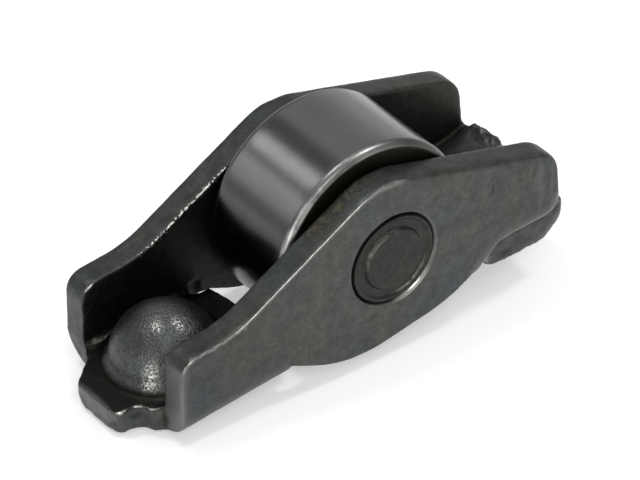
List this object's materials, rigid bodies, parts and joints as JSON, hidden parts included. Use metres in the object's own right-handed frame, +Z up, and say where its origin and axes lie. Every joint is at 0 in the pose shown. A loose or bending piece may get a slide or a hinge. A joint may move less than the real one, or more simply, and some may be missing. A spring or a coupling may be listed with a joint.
{
  "type": "rocker arm",
  "caption": "Roller finger rocker arm: a pressed steel channel with a ball socket, a needle-bearing cam roller on a staked pin, and a curved valve pad.",
  "frame": {"origin": "centre of the ball that the socket end rocks on", "axes": "+X along the arm from the ball socket to the valve pad, +Y along the roller's pin, +Z up towards the cam"},
  "size_m": [0.0405, 0.0144, 0.0175],
  "materials": {
    "pressed_steel": "dark satin, case hardened and tumbled, burnished along its edges",
    "pin_steel": "dark, turned, with staked ends",
    "bearing_steel": "fine ground",
    "needle_steel": "fine ground"
  },
  "bodies": {
    "arm": {"arm_body": "pressed_steel", "axle_pin": "pin_steel"},
    "roller": {"roller": "bearing_steel"},
    "needle_set": {"needle_01": "needle_steel", "needle_02": "needle_steel", "needle_03": "needle_steel", "needle_04": "needle_steel", "needle_05": "needle_steel", "needle_06": "needle_steel", "needle_07": "needle_steel", "needle_08": "needle_steel", "needle_09": "needle_steel", "needle_10": "needle_steel", "needle_11": "needle_steel", "needle_12": "needle_steel", "needle_13": "needle_steel", "needle_14": "needle_steel", "needle_15": "needle_steel", "needle_16": "needle_steel", "needle_17": "needle_steel"}
  },
  "joints": [
    {"name": "roller_spin", "type": "hinge", "parent": "arm", "child": "roller", "pos_m": [0.0159, 0, 0.0059], "axis": [0, 1, 0], "continuous": true},
    {"name": "needle_orbit", "type": "hinge", "parent": "arm", "child": "needle_set", "pos_m": [0.0159, 0, 0.0059], "axis": [0, 1, 0], "continuous": true}
  ],
  "couplings": [
    {"joint": "needle_orbit", "follows": "roller_spin", "ratio": 0.5906}
  ]
}
